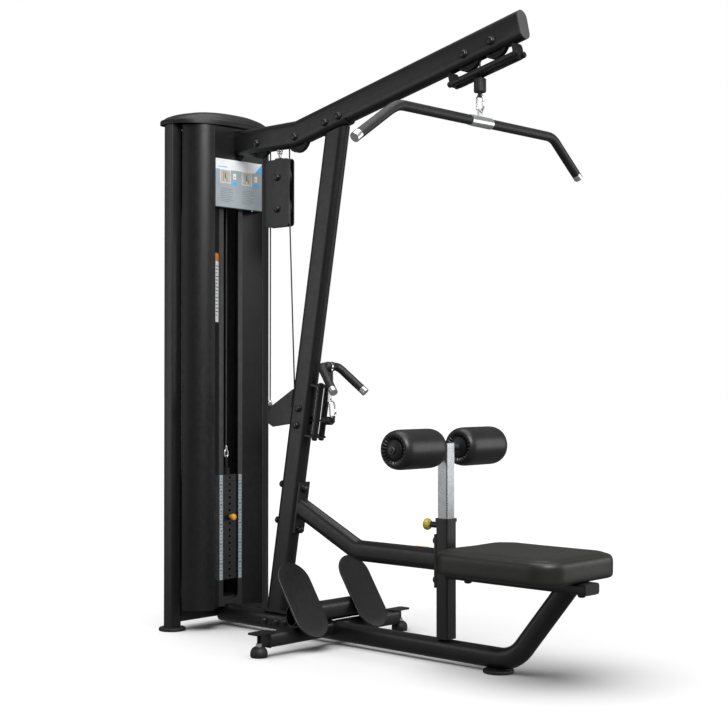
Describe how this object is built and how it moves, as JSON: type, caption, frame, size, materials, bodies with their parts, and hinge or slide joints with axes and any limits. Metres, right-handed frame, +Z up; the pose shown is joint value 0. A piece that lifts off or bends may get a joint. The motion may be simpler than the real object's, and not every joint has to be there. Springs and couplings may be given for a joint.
{
  "type": "lat pulldown machine",
  "caption": "Selectorised gym machine: a high pulldown bar and a low row handle share one weight stack through a floating pulley block, with padded seat, thigh rollers and foot plates.",
  "frame": {"origin": "on the floor under the centre of the machine's bounding box", "axes": "+X from the weight tower to the seat, +Y to the right-hand side of a user who sits facing the tower, +Z up"},
  "size_m": [1.818, 1.1922, 2.1443],
  "materials": {
    "black_powder_coat": "satin powder coat with a fine orange peel",
    "black_rubber": "matt moulded rubber",
    "black_plastic": "satin moulded plastic with a fine grain",
    "chrome": "polished chrome plate",
    "plate_steel": "painted steel plates with a satin finish",
    "coated_cable": "wire rope in a smooth plastic coat",
    "black_vinyl": "grained upholstery vinyl, satin",
    "yellow_knob": "yellow moulded knob"
  },
  "bodies": {
    "frame": {"base_rail": "black_powder_coat", "beam_end_cap": "black_plastic", "beam_guide_bracket": "black_powder_coat", "foot_plate_left": "black_powder_coat", "foot_plate_right": "black_powder_coat", "footrest_crossbar": "black_powder_coat", "front_shroud": "black_powder_coat", "guide_rod_left": "chrome", "guide_rod_right": "chrome", "lat_cable": "coated_cable", "leveling_foot_left": "black_rubber", "leveling_foot_right": "black_rubber", "mast": "black_powder_coat", "mast_guide_bracket": "black_powder_coat", "rear_shroud": "black_powder_coat", "resting_plates": "plate_steel", "rod_bumper_left": "black_rubber", "rod_bumper_right": "black_rubber", "row_cable": "coated_cable", "seat_brace": "black_powder_coat", "seat_foot": "black_rubber", "seat_pad": "black_vinyl", "seat_post": "black_powder_coat", "seat_rail": "black_powder_coat", "top_beam": "black_powder_coat", "tower_cap": "black_plastic", "tower_foot_left": "black_rubber", "tower_foot_right": "black_rubber", "tower_frame": "black_powder_coat"},
    "lift_carriage": {"stack_top_plate": "plate_steel", "lifted_plates": "plate_steel", "selector_stem": "chrome"},
    "selector_pin": {"selector_pin": "yellow_knob"},
    "pulley_block": {"pulley_block": "black_powder_coat"},
    "block_pulley_upper": {"block_pulley_upper": "black_plastic"},
    "block_pulley_lower": {"block_pulley_lower": "black_plastic"},
    "lat_cable_end": {"lat_stop": "black_rubber", "lat_snap_link": "chrome"},
    "lat_bar": {"lat_bar": "chrome", "lat_grip_left": "black_rubber", "lat_grip_right": "black_rubber"},
    "row_cable_end": {"row_stop": "black_rubber"},
    "row_handle": {"row_snap_link": "chrome", "row_handle": "chrome", "row_grip_left": "black_rubber", "row_grip_right": "black_rubber"},
    "thigh_post": {"thigh_post": "chrome"},
    "thigh_roller_left": {"thigh_roller_left": "black_vinyl"},
    "thigh_roller_right": {"thigh_roller_right": "black_vinyl"},
    "pull_pin": {"pull_pin": "yellow_knob"},
    "tower_pulley": {"tower_pulley": "black_plastic"},
    "rear_pulley": {"rear_pulley": "black_plastic"},
    "mid_pulley": {"mid_pulley": "black_plastic"},
    "front_pulley": {"front_pulley": "black_plastic"},
    "guard_pulley": {"guard_pulley": "black_plastic"},
    "mast_pulley": {"mast_pulley": "black_plastic"},
    "beam_guide_roller_left": {"beam_guide_roller_left": "black_plastic"},
    "beam_guide_roller_right": {"beam_guide_roller_right": "black_plastic"},
    "mast_guide_roller_left": {"mast_guide_roller_left": "black_plastic"},
    "mast_guide_roller_right": {"mast_guide_roller_right": "black_plastic"}
  },
  "joints": [
    {"name": "stack_lift", "type": "slide", "parent": "frame", "child": "lift_carriage", "axis": [0, 0, 1], "range_m": [0, 0.78], "deforming": ["lat_cable"]},
    {"name": "lat_pull", "type": "slide", "parent": "frame", "child": "lat_cable_end", "axis": [0, 0, -1], "range_m": [0, 0.78]},
    {"name": "lat_bar_swivel", "type": "hinge", "parent": "lat_cable_end", "child": "lat_bar", "pos_m": [0.47, 0, 1.803], "axis": [0, 0, 1], "range_deg": [-15, 15]},
    {"name": "tower_pulley_spin", "type": "hinge", "parent": "frame", "child": "tower_pulley", "pos_m": [-0.743, 0, 1.852], "axis": [0, 1, 0], "continuous": true},
    {"name": "rear_pulley_spin", "type": "hinge", "parent": "frame", "child": "rear_pulley", "pos_m": [-0.594, 0, 1.852], "axis": [0, 1, 0], "continuous": true},
    {"name": "mid_pulley_spin", "type": "hinge", "parent": "frame", "child": "mid_pulley", "pos_m": [-0.386, 0, 1.852], "axis": [0, 1, 0], "continuous": true},
    {"name": "front_pulley_spin", "type": "hinge", "parent": "frame", "child": "front_pulley", "pos_m": [0.42091, 0, 2.03135], "axis": [0, 1, 0], "continuous": true},
    {"name": "guard_pulley_spin", "type": "hinge", "parent": "frame", "child": "guard_pulley", "pos_m": [0.53441, 0, 2.05637], "axis": [0, 1, 0], "continuous": true},
    {"name": "block_drop", "type": "slide", "parent": "frame", "child": "pulley_block", "axis": [0, 0, -1], "range_m": [0, 0.35], "stiffness_N_per_m": 60, "springref_m": -1, "deforming": ["row_cable"]},
    {"name": "block_pulley_upper_spin", "type": "hinge", "parent": "pulley_block", "child": "block_pulley_upper", "pos_m": [-0.49, 0, 1.7135], "axis": [0, 1, 0], "continuous": true},
    {"name": "block_pulley_lower_spin", "type": "hinge", "parent": "pulley_block", "child": "block_pulley_lower", "pos_m": [-0.49, 0, 1.5945], "axis": [0, 1, 0], "continuous": true},
    {"name": "mast_pulley_spin", "type": "hinge", "parent": "frame", "child": "mast_pulley", "pos_m": [-0.36394, 0, 0.8465], "axis": [0, 1, 0], "continuous": true},
    {"name": "row_pull", "type": "slide", "parent": "frame", "child": "row_cable_end", "axis": [1, 0, 0], "range_m": [0, 0.7]},
    {"name": "row_handle_swing", "type": "hinge", "parent": "row_cable_end", "child": "row_handle", "pos_m": [-0.2095, 0, 0.813], "axis": [0, 1, 0], "range_deg": [0, 165]},
    {"name": "selector_pin_pull", "type": "slide", "parent": "lift_carriage", "child": "selector_pin", "axis": [1, 0, 0], "range_m": [0, 0.09]},
    {"name": "thigh_height", "type": "slide", "parent": "frame", "child": "thigh_post", "axis": [0, 0, 1], "range_m": [-0.12, 0.06]},
    {"name": "thigh_roller_left_spin", "type": "hinge", "parent": "thigh_post", "child": "thigh_roller_left", "pos_m": [0.323, 0, 0.724], "axis": [0, 1, 0], "continuous": true},
    {"name": "thigh_roller_right_spin", "type": "hinge", "parent": "thigh_post", "child": "thigh_roller_right", "pos_m": [0.323, 0, 0.724], "axis": [0, 1, 0], "continuous": true},
    {"name": "pull_pin_slide", "type": "slide", "parent": "frame", "child": "pull_pin", "axis": [-1, 0, 0], "range_m": [0, 0.012], "stiffness_N_per_m": 800, "springref_m": -0.01},
    {"name": "beam_guide_roller_left_spin", "type": "hinge", "parent": "frame", "child": "beam_guide_roller_left", "pos_m": [0.36646, -0.0175, 1.94204], "axis": [0.9766, 0, 0.2152], "continuous": true},
    {"name": "mast_guide_roller_left_spin", "type": "hinge", "parent": "frame", "child": "mast_guide_roller_left", "pos_m": [-0.28618, -0.0175, 0.74618], "axis": [0.1736, 0, 0.9848], "continuous": true},
    {"name": "beam_guide_roller_right_spin", "type": "hinge", "parent": "frame", "child": "beam_guide_roller_right", "pos_m": [0.36646, 0.0175, 1.94204], "axis": [0.9766, 0, 0.2152], "continuous": true},
    {"name": "mast_guide_roller_right_spin", "type": "hinge", "parent": "frame", "child": "mast_guide_roller_right", "pos_m": [-0.28618, 0.0175, 0.74618], "axis": [0.1736, 0, 0.9848], "continuous": true}
  ],
  "couplings": [
    {"joint": "lat_pull", "follows": "stack_lift", "ratio": 1},
    {"joint": "tower_pulley_spin", "follows": "stack_lift", "rad_per_m": 19.231},
    {"joint": "rear_pulley_spin", "follows": "stack_lift", "rad_per_m": 19.231},
    {"joint": "mid_pulley_spin", "follows": "stack_lift", "rad_per_m": 19.231},
    {"joint": "front_pulley_spin", "follows": "stack_lift", "rad_per_m": 19.231},
    {"joint": "block_pulley_upper_spin", "follows": "stack_lift", "rad_per_m": -19.231},
    {"joint": "row_pull", "follows": "block_drop", "ratio": 2},
    {"joint": "block_pulley_lower_spin", "follows": "block_drop", "rad_per_m": 19.231},
    {"joint": "mast_pulley_spin", "follows": "block_drop", "rad_per_m": -45.977}
  ]
}
